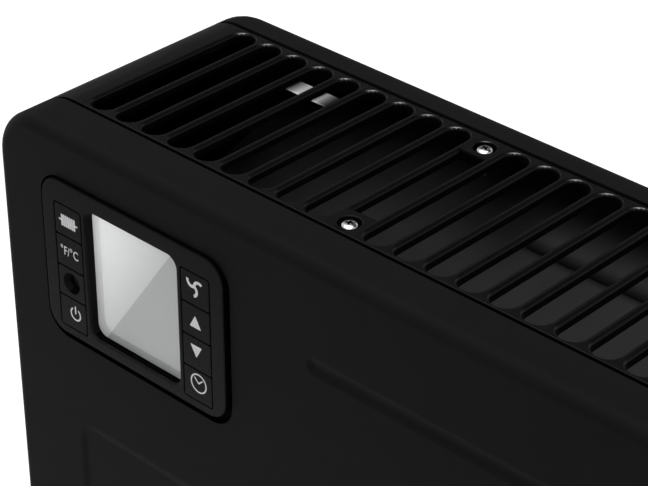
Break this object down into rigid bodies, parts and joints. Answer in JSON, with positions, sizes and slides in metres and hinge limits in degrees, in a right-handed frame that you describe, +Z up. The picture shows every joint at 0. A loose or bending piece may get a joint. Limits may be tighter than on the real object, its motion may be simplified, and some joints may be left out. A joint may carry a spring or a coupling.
{
  "type": "panel convector heater",
  "caption": "Slim free-standing panel convector heater with a slotted top grille, a display with push keys at the upper left of its front, and a pair of feet.",
  "frame": {"origin": "on the floor, under the middle of the casing", "axes": "+X along the heater, to the right seen from the front; +Y to its back; +Z up"},
  "size_m": [0.5954, 0.24, 0.44],
  "materials": {
    "casing_paint": "satin black powder coat, fine texture",
    "frame_plastic": "satin black moulding",
    "bezel_plastic": "fine spark-eroded black texture",
    "key_plastic": "fine spark-eroded black texture with pale printed symbols",
    "clear_lens": "clear polished lens",
    "display_grey": "unlit grey display",
    "dark_window": "dark infrared filter",
    "plated_steel": "bright zinc plate",
    "deflector_sheet": "dark stove-painted sheet",
    "bright_plate": "bright plated sheet",
    "fin_aluminium": "plain mill aluminium",
    "sheath_steel": "plain steel",
    "motor_steel": "zinc-plated steel",
    "bearing_bronze": "sintered bronze",
    "porcelain": "unglazed white porcelain",
    "board": "green solder mask",
    "switch_plastic": "black moulding",
    "foot_plastic": "satin black moulding",
    "pad_rubber": "black rubber"
  },
  "bodies": {
    "casing": {"front_panel": "casing_paint", "rear_panel": "casing_paint", "grille_frame": "frame_plastic", "bottom_tray": "frame_plastic", "grille_screws": "plated_steel", "bottom_screws": "plated_steel", "control_screws": "plated_steel", "foot_screws": "plated_steel", "control_bezel": "bezel_plastic", "control_housing": "frame_plastic", "control_board": "board", "key_switches": "switch_plastic", "lcd_lens": "clear_lens", "lcd_module": "display_grey", "ir_window": "dark_window", "air_deflector": "deflector_sheet", "partition_plate": "deflector_sheet", "element_bracket_left": "deflector_sheet", "element_bracket_right": "deflector_sheet", "element_bushes": "porcelain", "element_rod": "sheath_steel", "heating_element": "fin_aluminium", "fan_housing": "deflector_sheet", "fan_motor": "motor_steel", "fan_bearing": "bearing_bronze", "power_board": "board", "board_spacers": "switch_plastic", "power_relays": "switch_plastic", "terminal_block": "porcelain", "cord_gland": "frame_plastic", "cutout_bracket": "bright_plate", "thermal_cutout": "sheath_steel", "left_foot": "foot_plastic", "right_foot": "foot_plastic", "foot_pads": "pad_rubber"},
    "fan": {"fan_impeller": "fin_aluminium", "fan_shaft": "sheath_steel"},
    "heat_key": {"heat_key": "key_plastic"},
    "units_key": {"units_key": "key_plastic"},
    "power_key": {"power_key": "key_plastic"},
    "fan_key": {"fan_key": "key_plastic"},
    "up_key": {"up_key": "key_plastic"},
    "down_key": {"down_key": "key_plastic"},
    "timer_key": {"timer_key": "key_plastic"}
  },
  "joints": [
    {"name": "fan_spin", "type": "hinge", "parent": "casing", "child": "fan", "pos_m": [0, 0, 0.102], "axis": [1, 0, 0], "continuous": true},
    {"name": "heat_key_press", "type": "slide", "parent": "casing", "child": "heat_key", "axis": [0, 1, 0], "range_m": [0, 0.0006], "stiffness_N_per_m": 1000},
    {"name": "units_key_press", "type": "slide", "parent": "casing", "child": "units_key", "axis": [0, 1, 0], "range_m": [0, 0.0006], "stiffness_N_per_m": 1000},
    {"name": "power_key_press", "type": "slide", "parent": "casing", "child": "power_key", "axis": [0, 1, 0], "range_m": [0, 0.0006], "stiffness_N_per_m": 1000},
    {"name": "fan_key_press", "type": "slide", "parent": "casing", "child": "fan_key", "axis": [0, 1, 0], "range_m": [0, 0.0006], "stiffness_N_per_m": 1000},
    {"name": "up_key_press", "type": "slide", "parent": "casing", "child": "up_key", "axis": [0, 1, 0], "range_m": [0, 0.0006], "stiffness_N_per_m": 1000},
    {"name": "down_key_press", "type": "slide", "parent": "casing", "child": "down_key", "axis": [0, 1, 0], "range_m": [0, 0.0006], "stiffness_N_per_m": 1000},
    {"name": "timer_key_press", "type": "slide", "parent": "casing", "child": "timer_key", "axis": [0, 1, 0], "range_m": [0, 0.0006], "stiffness_N_per_m": 1000}
  ]
}
